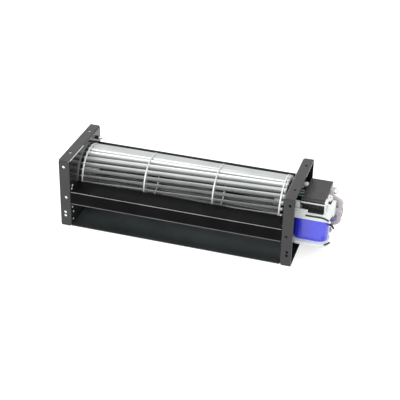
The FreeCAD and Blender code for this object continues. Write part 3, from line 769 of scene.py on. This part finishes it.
def bracket_ribs():
    """Cast ribs inside the outer bracket, from its feet to the hub."""
    bm = bmesh.new()
    tilt = math.radians(SCREW_ANGLE)
    along = Vector((0, math.cos(tilt), math.sin(tilt)))
    across = Vector((0, -math.sin(tilt), math.cos(tilt)))
    for side in (1, -1):
        outline = [(6.2, 6.0), (6.2, 12.4), (11.6, 12.4), (15.6, 3.2), (13.6, 3.2)]
        rows = []
        for shift in (-1.6, 1.6):
            rows.append([Vector((146.8 + height, AXIS_Y, AXIS_Z)) + along * side * reach + across * shift
                         for reach, height in outline])
        loft(bm, rows)
    piece("bracket_ribs", bm, CAST, "housing")


def screw_threads():
    """Thread crests on the ends of the motor screws and of the web stud."""
    bm = bmesh.new()
    tilt = math.radians(SCREW_ANGLE)
    spots = []
    for side in (1, -1):
        reach = side * SCREW_CIRCLE
        spots.append((153.9, 155.0, SCREW_RADIUS, AXIS_Y + reach * math.cos(tilt),
                      AXIS_Z + reach * math.sin(tilt)))
    spots.append((-147.8, -142.8, STUD_RADIUS, STUD_Y, STUD_Z))
    for low, high, radius, y, z in spots:
        count = max(2, int((high - low) / 0.55))
        pitch = (high - low) / count
        for number in range(count):
            x = low + pitch * number
            profile = [(x + 0.05, radius - 0.2), (x + pitch / 2, radius + 0.12),
                       (x + pitch - 0.05, radius - 0.2)]
            turned_ring(bm, profile, y, z, 20)
    piece("screw_threads", bm, RIVET_METAL, "housing")


def stud_sleeve():
    """Bright rounded sleeve on the web stud, beside its grommet."""
    bm = bmesh.new()
    path = [Vector((x, STUD_Y, STUD_Z)) for x in (-147.9, -147.6, -147.0, -145.4, -144.8, -144.5)]
    tube(bm, path, [1.5, 1.9, 2.1, 2.1, 1.9, 1.5], 24)
    piece("stud_sleeve", bm, RIVET_METAL, "housing")


def bush_highlight_ribs():
    """Pale ribs along the damping bush, their pale green a painted highlight."""
    bm = bmesh.new()
    count = 6
    for number in range(count):
        turn = math.radians(37 + 360 * number / count)
        y = BUSH_Y - BUSH_RADIUS * math.cos(turn)
        z = BUSH_Z + BUSH_RADIUS * math.sin(turn)
        path = [Vector((x, y, z)) for x in (112.0, 112.3, 117.8, 118.1)]
        tube(bm, path, [0.3, 0.6, 0.6, 0.3], 12)
    piece("bush_highlight_ribs", bm, BUSH_HIGHLIGHT_GREEN, "housing")


def lug_caps():
    """Rounded bright caps over the ends of the inner bracket, round the motor screws."""
    bm = bmesh.new()
    radius = 3.0
    for side in (1, -1):
        y = AXIS_Y + side * 6.4
        z = AXIS_Z + side * 25.1
        path = []
        radii = []
        for step in range(15):
            share = step / 7 - 1
            path.append(Vector((117.7 + radius * share, y, z)))
            radii.append(radius * math.sqrt(max(0.05, 1 - share ** 4)))
        tube(bm, path, radii, 28)
    piece("lug_caps", bm, SPACER_METAL, "housing")


coil_winding()
leads()
lead_clip()
bush_highlight_ribs()
lug_caps()
moulded_bobbin()
bobbin_bridge()
terminal_tabs()
terminal_shade_seat()
bracket_ribs()
screw_threads()
stud_sleeve()


# Floor, world and lamps

def floor():
    """Pale floor that looks white to the camera, to metal and to clear pieces, and keeps shadows."""
    mesh = bpy.data.meshes.new("floor")
    half, level = 6.0, -0.0003
    corners = [(-half, -half, level), (half, -half, level), (half, half, level), (-half, half, level)]
    mesh.from_pydata(corners, [], [(0, 1, 2, 3)])
    obj = bpy.data.objects.new("floor", mesh)
    bpy.context.scene.collection.objects.link(obj)
    m = Nodes("floor")
    m.set(Roughness=0.9, Specular_IOR_Level=0.0, Base_Color=(0.6, 0.6, 0.6, 1))
    ray = m.add("ShaderNodeLightPath").outputs
    seen = m.maths("MAXIMUM", ray["Is Camera Ray"], ray["Is Transmission Ray"])
    seen = m.maths("MAXIMUM", seen, ray["Is Glossy Ray"])
    glow = m.add("ShaderNodeEmission")
    m.link(m.maths("MULTIPLY", seen, 0.7), glow.inputs["Strength"])
    both = m.add("ShaderNodeAddShader")
    m.link(m.shader.outputs[0], both.inputs[0])
    m.link(glow.outputs[0], both.inputs[1])
    m.link(both.outputs[0], m.output.inputs["Surface"])
    mesh.materials.append(m.material)


def world():
    """White all round at plain strength."""
    made = bpy.data.worlds.new("studio")
    bpy.context.scene.world = made
    made.use_nodes = True
    shade = made.node_tree.nodes["Background"]
    shade.inputs["Color"].default_value = (1, 1, 1, 1)
    shade.inputs["Strength"].default_value = 1.0


def lamp(name, place, target, size, power):
    """Rectangular lamp in metres and watts, turned to its target."""
    data = bpy.data.lights.new(name, "AREA")
    data.shape = "RECTANGLE"
    data.size, data.size_y = size
    data.energy = power
    obj = bpy.data.objects.new(name, data)
    bpy.context.scene.collection.objects.link(obj)
    obj.location = place
    obj.rotation_mode = "QUATERNION"
    obj.rotation_quaternion = (Vector(target) - Vector(place)).to_track_quat("-Z", "Y")


floor()
world()
MIDDLE = (0, 0, 0.05)
lamp("key", (-0.25, -1.15, 0.9), MIDDLE, (1.3, 0.5), 6.5)
lamp("side", (-1.1, -0.6, 0.7), MIDDLE, (0.25, 0.5), 2)

scene = bpy.context.scene
scene.view_settings.view_transform = "Standard"
